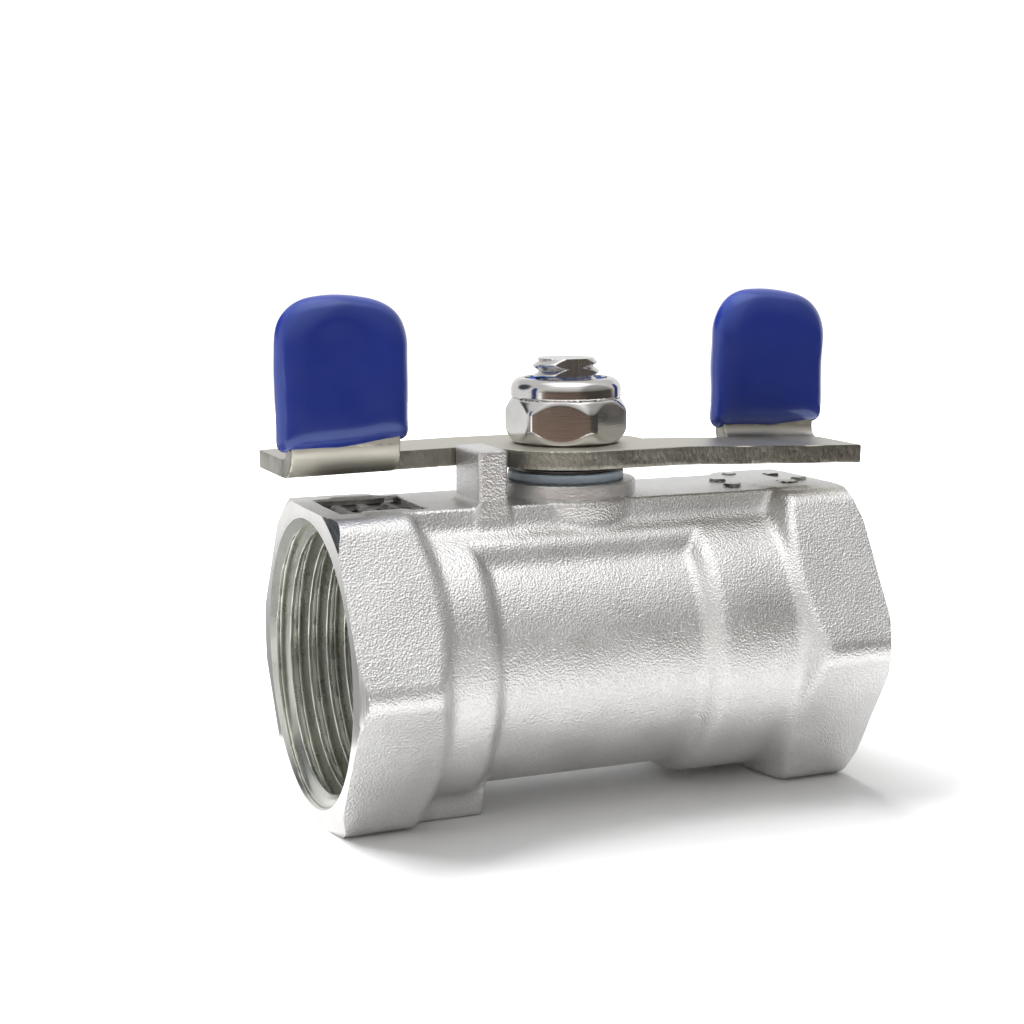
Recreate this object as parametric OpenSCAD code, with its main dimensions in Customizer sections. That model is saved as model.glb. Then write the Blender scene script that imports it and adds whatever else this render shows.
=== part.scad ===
// One-piece threaded ball valve with a butterfly handle, shown open.
// +X runs along the pipe, +Z is up, the stem turns about x = 0, y = 0,
// and the valve stands on z = 0, the lower flats of its hexagon ends.

/* [Body] */
// Length of the body along the pipe
body_length = 66; // [65:0.5:69]
// How far the stem sits from mid-length, towards the left end
stem_offset = 0.8; // [0:0.1:1]
// Width across the flats of both hexagon ends
hex_flats = 36; // [35.6:0.1:36.8]
// Length of each hexagon end
hex_length = 9; // [7:0.5:9.5]
// Radius where the turned chamfer meets an end face
end_face_r = 19; // [18.6:0.1:19.4]
// Radius of the raised bands
band_r = 17.3; // [17:0.1:17.6]
// Radius of the barrel between the bands
barrel_r = 15.8; // [15.4:0.1:16.4]
// Width of the flat pad along the top
pad_w = 14.6; // [13:0.1:15.6]
// Height of the stem boss above the pad
boss_h = 1.8; // [1.6:0.1:2]
// Radius of the stem boss
boss_r = 8.3; // [8:0.1:8.8]

/* [Ports] */
// Minor diameter of the pipe thread, 1 inch parallel pipe thread
thread_minor_d = 30.3; // [30.1:0.1:30.5]
// Diameter of each mouth's inner chamfer
mouth_d = 33.5; // [33.2:0.1:33.8]
// Depth of thread open to the pipe at each end
thread_depth = 15; // [12:0.5:15.5]

/* [Ball] */
// Diameter of the ball
ball_d = 27; // [26.4:0.1:27.2]
// Diameter of the waterway through the ball
bore_d = 18.5; // [16:0.5:19]

/* [Handle] */
// Thickness of the handle's sheet steel
plate_t = 2.2; // [1.8:0.1:2.4]
// Half-length of the handle, from the stem to each tip
handle_reach = 34.8; // [33.5:0.1:36]
// Radius of the handle's middle disc
disc_r = 10.1; // [9.8:0.1:10.3]
// Length of each upturned tab along the handle
tab_w = 12.8; // [11:0.1:13.2]
// Height of the tips of the grips above the ground
grip_top = 60.4; // [57:0.1:62]
// Wall of the vinyl sleeve on each tab
grip_wall = 1.35; // [1:0.05:1.6]
// How far the left wing sags from level, in degrees
left_sag = 0.9; // [0:0.1:2.5]
// How far the right wing sags from level, in degrees
right_sag = 2.2; // [0:0.1:2.5]

/* [Nut] */
// Width across the flats of the lock nut
nut_flats = 13; // [12.6:0.1:14]
// Height of the lock nut with its collar
nut_h = 7.7; // [7.5:0.1:8.4]

/* [Hidden] */
$fn = 96;

// Gaps: a turning fit, a sliver between stacked pieces, and clear air at a stop
run_gap = 0.05;
slip_gap = 0.03;
stop_gap = 0.3;
// Cutting tools run this far past what they cut
over = 1;

// Body stations along X and levels in Z
pipe_z = hex_flats / 2;
hex_corner_r = hex_flats / sqrt(3);
left_end = stem_offset - body_length / 2;
right_end = stem_offset + body_length / 2;
chamfer_slope = tan(30);
hex_wall = 2.2;
hex_left_end = left_end + hex_length;
hex_right_end = right_end - hex_length;
band_left_end = -15.8;
barrel_left_end = band_left_end + 1.4;
barrel_right_end = 10.6;
band_right_end = barrel_right_end + 1.8;
strip_w = 18.6;
rear_pad_end = -13.8;
boss_top = hex_flats + boss_h;

// Inside the body
thread_r = thread_minor_d / 2;
retainer_r = thread_r - 0.45;
mouth_r = mouth_d / 2;
port_r = bore_d / 2 + 0.15;
ball_r = ball_d / 2;
cavity_r = ball_r + 0.4;
seat_out = 13.2;
seat_in = 7.8;
seat_r = 13.6;
shoulder_x = 11.4;
seal_t = 0.8;
retainer_in = shoulder_x + seal_t;
retainer_out = 18.6;
retainer_slot = 4;

// Stem and its seals, levels in Z
shaft_r = 4.6;
flange_r = 5.3;
flange_z = pipe_z + cavity_r;
flange_top = flange_z + 1.4;
washer_t = 0.5;
lip_z = flange_top + washer_t + run_gap;
packing_z = lip_z + 0.75;
packing_r = 6.4;
packing_t = 1.1;
gland_flange_r = 6.9;
gland_flange_t = 1.1;
gland_top = boss_top + gland_flange_t;
plate_z = hex_flats + 3.9;
plate_top = plate_z + plate_t;
stem_top = plate_top + nut_h + 2.3;
thread_top_r = 3.95;
stem_flat = 5.8;
tang_t = 4;
slot_z = pipe_z + ball_r - 2.9;

// Handle: each wing hangs off one side of the disc, and its tab turns up from the inner edge
bend_inner_r = 1.4;
bend_r = plate_t + bend_inner_r;
wing_in = 0.37;
crease_x = disc_r + 0.5;
tab_end = handle_reach - 0.15;
tab_start = tab_end - tab_w;
tab_corner_r = 3;
tab_top = grip_top - grip_wall;
grip_z = plate_z + bend_r;
grip_corner_r = tab_corner_r + grip_wall;
grip_crown = 1;

// Stop post: the wings come to rest on its back and on its right side
post_x1 = -(disc_r + stop_gap + 0.1);
post_t = 3.6;
post_back = wing_in - stop_gap;
post_front = pad_w / 2 + 0.3;
post_top = plate_top + 0.3;

// Lock nut
nut_turn = 31;
nut_hex_h = 5.5;
nut_chamfer_h = 1.8;
collar_r = 6.5;
insert_r = 5.4;
insert_h = nut_h - nut_hex_h - 0.9;
collar_in_r = 4.7;

module along_pipe(x = 0) {
    translate([x, 0, pipe_z])
        rotate([0, 90, 0])
            children();
}

// Turns an outline of [x, radius] points about the pipe's axis
module turned(points) {
    along_pipe()
        rotate_extrude()
            polygon([for (p = points) [p[1], p[0]]]);
}

// A ring on the stem's axis, from level z up
module ring(z, h, outer, inner) {
    translate([0, 0, z])
        difference() {
            cylinder(r = outer, h = h);
            translate([0, 0, -over])
                cylinder(r = inner, h = h + 2 * over);
        }
}

// A block from one corner to the other
module span(low, high) {
    translate(low)
        cube(high - low);
}

module hex_bar(from, to) {
    along_pipe(from)
        rotate([0, 0, 30])
            cylinder(r = hex_corner_r, h = to - from, $fn = 6);
}

// Both hexagon ends: chamfered at the face, sloping down to the bands inside
module hex_ends() {
    chamfer_l = (hex_corner_r - end_face_r) * chamfer_slope;
    intersection() {
        hex_bar(left_end, right_end);
        turned([
            [left_end, 0], [left_end, end_face_r],
            [left_end + chamfer_l, hex_corner_r], [hex_left_end, hex_corner_r],
            [hex_left_end + hex_wall, band_r], [hex_left_end + hex_wall, thread_r],
            [hex_right_end - hex_wall, thread_r], [hex_right_end - hex_wall, band_r],
            [hex_right_end, hex_corner_r], [right_end - chamfer_l, hex_corner_r],
            [right_end, end_face_r], [right_end, 0]
        ]);
    }
}

module bands_and_barrel() {
    turned([
        [left_end + over, 0], [left_end + over, band_r], [band_left_end, band_r],
        [barrel_left_end, barrel_r], [barrel_right_end, barrel_r],
        [band_right_end, band_r], [right_end - over, band_r], [right_end - over, 0]
    ]);
}

// A rib along the pipe at band height, and the flat pad on top of it
module top_pad() {
    intersection() {
        along_pipe(band_left_end)
            cylinder(r = band_r, h = band_right_end - band_left_end);
        rib(band_left_end, band_right_end, pipe_z + band_r, strip_w);
    }
    rib(hex_left_end - over, hex_right_end + over, hex_flats, pad_w);
}

// A raised strip with sloping sides, w wide at its top level
module rib(from, to, top, w) {
    side_h = 4;
    foot = top - side_h;
    flare = side_h / 4;
    translate([from, 0, 0])
        rotate([90, 0, 90])
            linear_extrude(to - from)
                polygon([
                    [-w / 2 - flare, foot], [-w / 2, top], [w / 2, top], [w / 2 + flare, foot],
                    [0, pipe_z]
                ]);
}

module bottom_pad() {
    translate([0, 0, 2 * pipe_z])
        mirror([0, 0, 1])
            rib(hex_left_end - over, rear_pad_end, 2 * pipe_z, pad_w + 1);
}

module stem_boss() {
    translate([0, 0, pipe_z])
        cylinder(r = boss_r, h = boss_top - pipe_z);
}

module stop_post() {
    span([post_x1 - post_t, -post_front, pipe_z + cavity_r], [post_x1, post_back, post_top]);
}

// Plain cast marks: a sunken panel with three bars on the left end
module sunken_panel() {
    panel_x = -24.6;
    panel_l = 10.4;
    panel_half_w = 5.6;
    panel_z = hex_flats - 0.9;
    bar_half_l = 3.6;
    bar_w = 1.2;
    bar_pitch = 3;
    bar_h = 0.45;
    difference() {
        span(
            [panel_x - panel_l / 2, -panel_half_w, panel_z],
            [panel_x + panel_l / 2, panel_half_w, hex_flats + over]
        );
        for (i = [-1:1])
            translate([panel_x + bar_pitch * i, 0, 0])
                span([-bar_w / 2, -bar_half_l, pipe_z], [bar_w / 2, bar_half_l, panel_z + bar_h]);
    }
}

// Generic raised marks on the right end, each as [x, y, radius]
module raised_marks() {
    mark_h = 0.4;
    marks = [
        [25, 4.9, 0.9], [21.1, 0.8, 0.8], [21.1, -3.1, 1.1], [30.1, 3, 1], [28, -4.1, 1.3], [31.2, -1.6, 0.9]
    ];
    for (mark = marks)
        translate([mark[0], mark[1], hex_flats - over])
            cylinder(r = mark[2], h = mark_h + over, $fn = 24);
}

// Everything cut along the pipe: mouths, threads, seat pocket and ball cavity
module pipe_cuts() {
    mouth_l = mouth_r - thread_r;
    turned([
        [left_end - over, 0], [left_end - over, mouth_r + over], [left_end + mouth_l, thread_r],
        [left_end + thread_depth, thread_r], [left_end + thread_depth, port_r],
        [-seat_out, port_r], [-seat_out, cavity_r], [shoulder_x, cavity_r], [shoulder_x, retainer_r],
        [retainer_out, retainer_r], [retainer_out, thread_r],
        [right_end - mouth_l, thread_r], [right_end + over, mouth_r + over], [right_end + over, 0]
    ]);
}

module stem_cuts() {
    translate([0, 0, pipe_z])
        cylinder(r = flange_r + 0.15, h = lip_z - pipe_z);
    translate([0, 0, pipe_z])
        cylinder(r = shaft_r + run_gap, h = boss_top - pipe_z + over);
    translate([0, 0, packing_z])
        cylinder(r = packing_r, h = boss_top - packing_z + over);
}

module valve_body() {
    color([0.76, 0.76, 0.74])
        difference() {
            union() {
                hex_ends();
                bands_and_barrel();
                top_pad();
                bottom_pad();
                stem_boss();
                stop_post();
                raised_marks();
            }
            pipe_cuts();
            stem_cuts();
            sunken_panel();
        }
}

// Threaded ring that holds the seats and ball, with two slots for a pin wrench
module end_retainer() {
    slot_depth = 2.5;
    color([0.7, 0.7, 0.68])
        difference() {
            turned([
                [retainer_in, port_r], [retainer_in, retainer_r - slip_gap],
                [retainer_out, retainer_r - slip_gap], [retainer_out, port_r + over],
                [retainer_out - over, port_r]
            ]);
            along_pipe(retainer_in - over)
                cylinder(r = seat_r + slip_gap, h = seat_out - retainer_in + over);
            span(
                [retainer_out - slot_depth, -thread_r - over, pipe_z - retainer_slot / 2],
                [retainer_out + over, thread_r + over, pipe_z + retainer_slot / 2]
            );
        }
}

module retainer_seal() {
    color([0.93, 0.93, 0.9])
        turned([
            [shoulder_x, cavity_r + slip_gap], [shoulder_x, retainer_r - slip_gap],
            [retainer_in, retainer_r - slip_gap], [retainer_in, cavity_r + slip_gap]
        ]);
}

// Seat ring on the right side, hollowed to the ball
module seat() {
    ball_gap = 0.15;
    color([0.93, 0.93, 0.9])
        difference() {
            turned([[seat_in, port_r], [seat_in, seat_r], [seat_out, seat_r], [seat_out, port_r]]);
            translate([0, 0, pipe_z])
                sphere(r = ball_r + ball_gap);
        }
}

module seat_left() {
    mirror([1, 0, 0])
        seat();
}

module seat_right() {
    seat();
}

// The slot lies across the pipe when open, so that the shut ball can press on its seat
module ball() {
    color([0.8, 0.8, 0.8])
        difference() {
            translate([0, 0, pipe_z])
                sphere(r = ball_r);
            along_pipe(-ball_r - over)
                cylinder(r = bore_d / 2, h = 2 * (ball_r + over));
            span(
                [-tang_t / 2 - run_gap, -ball_r, slot_z],
                [tang_t / 2 + run_gap, ball_r, pipe_z + ball_r + over]
            );
        }
}

module stem() {
    tip_chamfer = 0.7;
    color([0.74, 0.74, 0.72]) {
        intersection() {
            translate([0, 0, slot_z + 0.2])
                cylinder(r = shaft_r, h = flange_z - slot_z);
            span([-tang_t / 2, -shaft_r, slot_z], [tang_t / 2, shaft_r, flange_top]);
        }
        translate([0, 0, flange_z])
            cylinder(r = flange_r, h = flange_top - flange_z);
        translate([0, 0, flange_z])
            cylinder(r = shaft_r, h = plate_z - flange_z);
        intersection() {
            union() {
                translate([0, 0, pipe_z + ball_r + over])
                    cylinder(r = thread_top_r, h = stem_top - tip_chamfer - pipe_z - ball_r - over);
                translate([0, 0, stem_top - tip_chamfer])
                    cylinder(r1 = thread_top_r, r2 = thread_top_r - tip_chamfer, h = tip_chamfer);
            }
            span([-shaft_r, -stem_flat / 2, flange_z], [shaft_r, stem_flat / 2, stem_top]);
        }
    }
}

module thrust_washer() {
    color([0.93, 0.93, 0.9])
        ring(flange_top, washer_t, flange_r, shaft_r + slip_gap);
}

// Packing rings fill the box between the stem and the body, with a shallow vee between them
module packing_ring(low_vee, high_vee) {
    vee = 0.4;
    inner = shaft_r + run_gap;
    middle = (inner + packing_r) / 2;
    outer = packing_r - slip_gap;
    rotate_extrude()
        polygon([
            [inner, 0], [middle, low_vee * vee], [outer, 0],
            [outer, packing_t], [middle, packing_t + high_vee * vee], [inner, packing_t]
        ]);
}

module packing_lower() {
    color([0.93, 0.93, 0.9])
        translate([0, 0, packing_z])
            packing_ring(0, 1);
}

module packing_upper() {
    color([0.93, 0.93, 0.9])
        translate([0, 0, packing_z + packing_t])
            packing_ring(1, 0);
}

module gland_bush() {
    spigot_z = packing_z + 2 * packing_t;
    color([0.8, 0.85, 0.92]) {
        ring(boss_top, gland_flange_t, gland_flange_r, shaft_r + run_gap);
        ring(spigot_z, boss_top - spigot_z, packing_r - slip_gap, shaft_r + run_gap);
    }
}

// Shallow cone washer that keeps the packing pressed
module spring_washer() {
    washer_r = 6.3;
    sheet = 0.3;
    low = gland_top + run_gap;
    high = plate_z;
    inner = shaft_r + slip_gap;
    color([0.35, 0.34, 0.33])
        rotate_extrude()
            polygon([[inner, high - sheet], [washer_r, low], [washer_r, low + sheet], [inner, high]]);
}

// Outline of an upturned tab seen along Y, from level z up: round shoulders under a crowned top
module tab_outline(from, to, z, top, corner, crown) {
    half = (to - from) / 2 - corner;
    crown_r = (half * half + crown * crown) / (2 * crown);
    shoulder = top - crown - corner;
    translate([from, z])
        square([to - from, shoulder - z]);
    translate([from + corner, z])
        square([2 * half, shoulder - z + corner]);
    for (x = [from + corner, to - corner])
        translate([x, shoulder])
            circle(r = corner);
    intersection() {
        translate([(from + to) / 2, top - crown_r])
            circle(r = crown_r);
        translate([from + corner, z])
            square([2 * half, top - z]);
    }
}

// Tilts what stands on a right-hand wing, about the crease in the plate's top face
module sagged(sag) {
    translate([crease_x, 0, plate_top])
        rotate([0, sag, 0])
            translate([-crease_x, 0, -plate_top])
                children();
}

// The tab of the right wing stands from y = from_y to to_y
module tab_block(from_y, to_y, side, z, top, corner) {
    translate([0, to_y, 0])
        rotate([90, 0, 0])
            linear_extrude(to_y - from_y)
                tab_outline(tab_start - side, tab_end + side, z, top, corner, grip_crown);
}

// Right wing's plate: level as far as the crease, then falling at the sag angle
module wing_plate(sag) {
    reach = handle_reach - crease_x;
    mitre = plate_t * tan(sag / 2);
    tip_top = plate_t - reach * sin(sag);
    translate([crease_x, -wing_in, plate_z])
        rotate([90, 0, 0])
            linear_extrude(disc_r - wing_in)
                polygon([
                    [-crease_x, 0], [-mitre, 0],
                    [reach * cos(sag) - plate_t * sin(sag), tip_top - plate_t * cos(sag)],
                    [reach * cos(sag), tip_top], [0, plate_t], [-crease_x, plate_t]
                ]);
}

// Quarter-round bend along the inner edge of the right wing, and the tab above it. The bend is a
// hair smaller than the plate and the tab, and runs a little way into both.
module wing_tab() {
    bend_y = -wing_in;
    tuck = 0.03;
    translate([tab_start + tuck, bend_y - tuck, grip_z])
        rotate([0, 90, 0])
            rotate_extrude(angle = 94)
                translate([bend_inner_r + 2 * tuck, 0])
                    square([plate_t - 4 * tuck, tab_w - 2 * tuck]);
    tab_block(bend_y + bend_inner_r, bend_y + bend_r, 0, grip_z, tab_top, tab_corner_r);
}

module wing(sag) {
    wing_plate(sag);
    sagged(sag)
        wing_tab();
}

module handle_plate() {
    hole_gap = 0.05;
    color([0.72, 0.71, 0.69])
        difference() {
            union() {
                translate([0, 0, plate_z])
                    cylinder(r = disc_r, h = plate_t);
                wing(right_sag);
                rotate([0, 0, 180])
                    wing(left_sag);
            }
            intersection() {
                translate([0, 0, plate_z - over])
                    cylinder(r = thread_top_r + hole_gap, h = plate_t + 2 * over);
                span(
                    [-shaft_r, -stem_flat / 2 - hole_gap, plate_z - over],
                    [shaft_r, stem_flat / 2 + hole_gap, plate_top + over]
                );
            }
        }
}

// Dipped vinyl sleeve over the right tab
module grip() {
    front = bend_inner_r - wing_in;
    color([0.12, 0.16, 0.62])
        difference() {
            tab_block(
                front - grip_wall, front + plate_t + grip_wall, grip_wall,
                grip_z, grip_top, grip_corner_r
            );
            tab_block(front, front + plate_t, 0, grip_z - over, tab_top, tab_corner_r);
        }
}

module grip_right() {
    sagged(right_sag)
        grip();
}

module grip_left() {
    rotate([0, 0, 180])
        sagged(left_sag)
            grip();
}

// Hexagon with both faces chamfered, a collar rolled over at the top, and a pocket for the insert
module lock_nut() {
    corner_r = nut_flats / sqrt(3);
    face_r = nut_flats / 2 - 0.2;
    roll_r = 1.4;
    roll_steps = 6;
    hex_outline = [
        [0, 0], [face_r, 0], [corner_r, nut_chamfer_h],
        [corner_r, nut_hex_h - nut_chamfer_h], [face_r, nut_hex_h], [0, nut_hex_h]
    ];
    roll = [for (i = [0:roll_steps]) [
        collar_r - roll_r + roll_r * cos(90 * i / roll_steps),
        nut_h - roll_r + roll_r * sin(90 * i / roll_steps)
    ]];
    color([0.78, 0.77, 0.74])
        translate([0, 0, plate_top])
            difference() {
                union() {
                    intersection() {
                        rotate([0, 0, nut_turn])
                            cylinder(r = corner_r, h = nut_hex_h, $fn = 6);
                        rotate_extrude()
                            polygon(hex_outline);
                    }
                    rotate_extrude()
                        polygon(concat(
                            [[0, nut_hex_h - over], [collar_r, nut_hex_h - over]], roll, [[0, nut_h]]
                        ));
                }
                translate([0, 0, -over])
                    cylinder(r = thread_top_r + slip_gap, h = nut_h);
                translate([0, 0, nut_hex_h])
                    cylinder(r = insert_r + slip_gap, h = insert_h);
                translate([0, 0, nut_hex_h])
                    cylinder(r = collar_in_r, h = nut_h);
            }
}

module nut_insert() {
    color([0.1, 0.25, 0.6])
        ring(plate_top + nut_hex_h, insert_h, insert_r, thread_top_r + slip_gap);
}

valve_body();
end_retainer();
retainer_seal();
seat_left();
seat_right();
ball();
stem();
thrust_washer();
packing_lower();
packing_upper();
gland_bush();
spring_washer();
handle_plate();
grip_left();
grip_right();
lock_nut();
nut_insert();
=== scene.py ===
"""A one-piece threaded ball valve with a butterfly handle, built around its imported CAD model.

Shapes are written as signed distances in millimetres and meshed by dual contouring, so that cast
edges run together softly while turned and sheared edges stay sharp.
"""

import math

import bpy
import numpy as np
from mathutils import Matrix, Vector


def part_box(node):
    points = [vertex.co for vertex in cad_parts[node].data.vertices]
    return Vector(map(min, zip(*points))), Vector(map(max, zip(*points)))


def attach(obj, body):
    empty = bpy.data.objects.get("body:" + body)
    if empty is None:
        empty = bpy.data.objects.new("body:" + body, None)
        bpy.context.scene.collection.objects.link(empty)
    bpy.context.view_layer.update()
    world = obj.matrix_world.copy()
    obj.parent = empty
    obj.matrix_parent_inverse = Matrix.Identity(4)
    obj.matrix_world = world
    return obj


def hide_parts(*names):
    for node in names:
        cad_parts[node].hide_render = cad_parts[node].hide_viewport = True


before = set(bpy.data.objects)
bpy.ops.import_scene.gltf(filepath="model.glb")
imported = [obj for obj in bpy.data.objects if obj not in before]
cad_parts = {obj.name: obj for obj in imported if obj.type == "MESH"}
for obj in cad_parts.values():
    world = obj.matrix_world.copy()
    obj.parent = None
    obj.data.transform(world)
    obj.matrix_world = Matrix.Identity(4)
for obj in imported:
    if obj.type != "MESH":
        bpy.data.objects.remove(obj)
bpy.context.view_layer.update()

MM = 0.001
COARSE = 1.0
TINY = 1e-9
# A distance in mm beyond anything modelled
FAR = 1e3


# ---------------------------------------------------------------- sizes, in mm

def node_box(node):
    """(lowest corner, highest corner) of a CAD node in millimetres."""
    low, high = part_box(node)
    return np.array(low) / MM, np.array(high) / MM


body_low, body_high = node_box("valve_body")
plate_low, plate_high = node_box("handle_plate")
nut_low, nut_high = node_box("lock_nut")
stem_low, stem_high = node_box("stem")
gland_low, gland_high = node_box("gland_bush")
retainer_high = node_box("end_retainer")[1]
grip_l_low, grip_l_high = node_box("grip_left")
grip_r_low, grip_r_high = node_box("grip_right")

# Body
LEFT_END, RIGHT_END = body_low[0], body_high[0]
HEX_CORNER_R = body_high[1]
HEX_R = HEX_CORNER_R * math.cos(math.pi / 6)
PIPE_Z = HEX_R
HEX_TOP = PIPE_Z + HEX_R
POST_TOP = body_high[2]
HEX_LEN = 9.0
HEX_WALL = 2.2
END_FACE_R = 19.0
BAND_R = 17.3
BARREL_R = 15.8
BARREL_LEFT, BARREL_RIGHT = -14.4, 10.6
WALL_LEFT, WALL_RIGHT = 1.4, 1.8
STRIP_HALF = 9.3
PAD_HALF = 7.3
REAR_PAD_HALF = 7.8
REAR_PAD_END = -13.8
BOSS_R = 8.3
BOSS_TOP = HEX_TOP + 1.8
POST = np.array([[-14.1, -7.6, 33.0], [-10.5, 0.07, POST_TOP]])
PANEL_X = (-29.8, -19.4)
PANEL_HALF = 5.6
PANEL_DEPTH = 0.9
BAR_PITCH, BAR_HALF_X, BAR_HALF_Y, BAR_DROP = 3, 0.6, 3.6, 0.45
HEX_ROUND = 1.7
CAST_ROUND = 0.9
# Run and rise of the drafted sides of the strip and the pads
DRAFT = (1, 4)
# Raised spots near the right end: x, y and radius
MARKS = (
    (25.0, 4.9, 0.9), (21.1, 0.8, 0.8), (21.1, -3.1, 1.1),
    (30.1, 3.0, 1.0), (28.0, -4.1, 1.3), (31.2, -1.6, 0.9),
)
MARK_H = 0.4

# Inside the body
MINOR_R = 15.15
MAJOR_R = 16.62
PITCH = 2.309
MOUTH_R = 16.75
SLEEVE_R = 17.0
THREAD_DEPTH = 15.0
FULL_THREAD = 10.8
RUN_OUT = 1.6
CREST_HALF, FLANK_ANGLE = 0.24, math.radians(27.5)
# Facets around a threaded mouth, and rows of them to each turn of the thread
THREAD_SIDES, ROWS_PER_TURN = 288, 22
INNER_SLEEVE_R = 15.6
PORT_R = 9.4
CAVITY_R = 13.9
CAVITY_LEFT, CAVITY_RIGHT = -13.2, 11.4
RETAINER_R = 14.7
RETAINER_OUT = retainer_high[0]

# Stem
SHAFT_R = 4.6
FLANGE_R, FLANGE_BORE_R = 5.3, 5.45
TANG_HALF = 2
THREAD_SCALE = 0.62
FLANGE_Z = PIPE_Z + CAVITY_R
FLANGE_TOP = FLANGE_Z + 1.4
LIP_Z = FLANGE_TOP + 0.55
PACKING_Z = LIP_Z + 0.75
PACKING_R = 6.4
STEM_TOP = stem_high[2]
STEM_R = 3.95
STEM_FLAT = 2.9
STEM_PITCH, STEM_GROOVE = 1.25, 0.72
# Gap around the stem where it passes through the body, the bush and the plate
CLEARANCE = 0.05

# Handle
PLATE_T = 2.2
PLATE_TOP = nut_low[2]
PLATE_Z = PLATE_TOP - PLATE_T
DISC_R = plate_high[1]
REACH = 34.8
WING_IN = 0.37
CREASE_X = DISC_R + 0.5
SAG_RIGHT, SAG_LEFT = math.radians(2.2), math.radians(0.9)
BEND_INNER = 1.4
BEND_R = PLATE_T + BEND_INNER
TAB_END = REACH - 0.15
TAB_START = TAB_END - 12.8
TAB_MIDDLE, TAB_HALF = (TAB_START + TAB_END) / 2, (TAB_END - TAB_START) / 2
TAB_FACE = BEND_INNER - WING_IN
SHEET_ROUND = 0.28
GRIP_WALL = 1.35
GRIP_TOP = 60.4
GRIP_Z = PLATE_Z + BEND_R
LIP_DROP, LIP_RISE = 0.5, 0.75

# Nut
NUT_FLATS = 13.0
NUT_TURN = math.radians(31)
NUT_HEX_H = 5.5
NUT_FACE_R = 6.3
NUT_CHAMFER = 1.9
COLLAR_R = 6.5
COLLAR_ROLL = 1.35
POCKET_R, INSERT_R = 4.9, 4.85


# ------------------------------------------------------- signed-distance tools

# Points worked on at a time, and the side of the blocks that the grid is sampled in
CHUNK, BLOCK, BLOCKS_AT_ONCE = 400000, 8, 512
# Steps the grid is shifted by, so that flat faces don't lie on it
GRID_SHIFT = 1.37
# Pull of a vertex towards the middle of its crossings
PULL = 0.012
# Depth in mm that a quad's diagonal may leave the surface by
MAX_BENT = 0.004
# Normals are read this share of the way into a face, over this reach in mm, and may stray this far
INSET, NORMAL_REACH, MAX_STRAY = 0.35, 0.02, math.radians(20)
# Shortest diagonal product in mm2 that gives a face a normal of its own
MIN_FACE = 1e-4
# Grid step of each piece in mm
CAST_STEP, PLATE_STEP, GRIP_STEP = 0.36, 0.36, 0.3
NUT_STEP, STEM_STEP, GLAND_STEP = 0.2, 0.15, 0.25


def smooth_max(a, b, k):
    """The larger of two distances, with the corner between them rounded over a width of about k."""
    h = np.maximum(k - np.abs(a - b), 0)
    return np.maximum(a, b) + h * h / (4 * k)


def smooth_min(a, b, k):
    return -smooth_max(-a, -b, k)


def box_distance(p, low, high, k):
    """A block from low to high, its edges rounded over about k."""
    d = smooth_max(np.maximum(low[0] - p[0], p[0] - high[0]), np.maximum(low[1] - p[1], p[1] - high[1]), k)
    return smooth_max(d, np.maximum(low[2] - p[2], p[2] - high[2]), k)


def side_plane(across, along, run, rise):
    """Distance from a slope through (0, 0) that falls by rise over run, in the plane (across, along)."""
    return (across * rise + along * run) / math.hypot(run, rise)


class Noise:
    """Smooth seeded noise of about -1 to 1, on a lattice that repeats every 64 cells."""

    SIZE = 64

    def __init__(self, seed):
        rng = np.random.RandomState(seed)
        self.lattice = rng.uniform(-1, 1, (self.SIZE,) * 3).astype(np.float32)

    def __call__(self, p, wavelength):
        q = [c / wavelength for c in p]
        base = [np.floor(c).astype(np.int64) for c in q]
        f = [c - b for c, b in zip(q, base)]
        f = [t * t * (3 - 2 * t) for t in f]
        total = 0
        for i in (0, 1):
            for j in (0, 1):
                for k in (0, 1):
                    weight = (f[0] if i else 1 - f[0]) * (f[1] if j else 1 - f[1]) * (f[2] if k else 1 - f[2])
                    corner = self.lattice[
                        (base[0] + i) % self.SIZE, (base[1] + j) % self.SIZE, (base[2] + k) % self.SIZE
                    ]
                    total = total + weight * corner
        return total


def gradient(sdf, p, reach=0.01):
    """Unit normals of the distance field at points p."""
    total = np.zeros_like(p)
    for k in ((1, -1, -1), (-1, -1, 1), (-1, 1, -1), (1, 1, 1)):
        k = np.array(k, float)[:, None]
        total += k * sdf(p + k * reach)
    return total / np.maximum(np.linalg.norm(total, axis=0), TINY)


def in_chunks(function, p):
    """A function of many points, a chunk at a time."""
    return np.concatenate([function(p[:, i:i + CHUNK]) for i in range(0, p.shape[1], CHUNK)], axis=-1)


def sample_grid(sdf, low, step, counts):
    """Distances on a grid. Blocks far from the surface get only their sign."""
    blocks = [math.ceil(n / BLOCK) for n in counts]
    middles = [low[a] + step * (BLOCK * np.arange(blocks[a]) + (BLOCK - 1) / 2) for a in range(3)]
    centre = np.stack([m.ravel() for m in np.meshgrid(*middles, indexing="ij")])
    rough = in_chunks(sdf, centre).reshape(blocks)
    field = np.sign(rough)
    for a in range(3):
        field = np.repeat(field, BLOCK, axis=a)
    near = np.argwhere(np.abs(rough) < step * (BLOCK + 2))
    local = np.stack([m.ravel() for m in np.meshgrid(*[np.arange(BLOCK)] * 3, indexing="ij")])
    for start in range(0, len(near), BLOCKS_AT_ONCE):
        some = near[start:start + BLOCKS_AT_ONCE]
        index = (some.T[:, :, None] * BLOCK + local[:, None, :]).reshape(3, -1)
        points = low[:, None] + step * index
        field[index[0], index[1], index[2]] = sdf(points)
    return field[:counts[0], :counts[1], :counts[2]]


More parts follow.
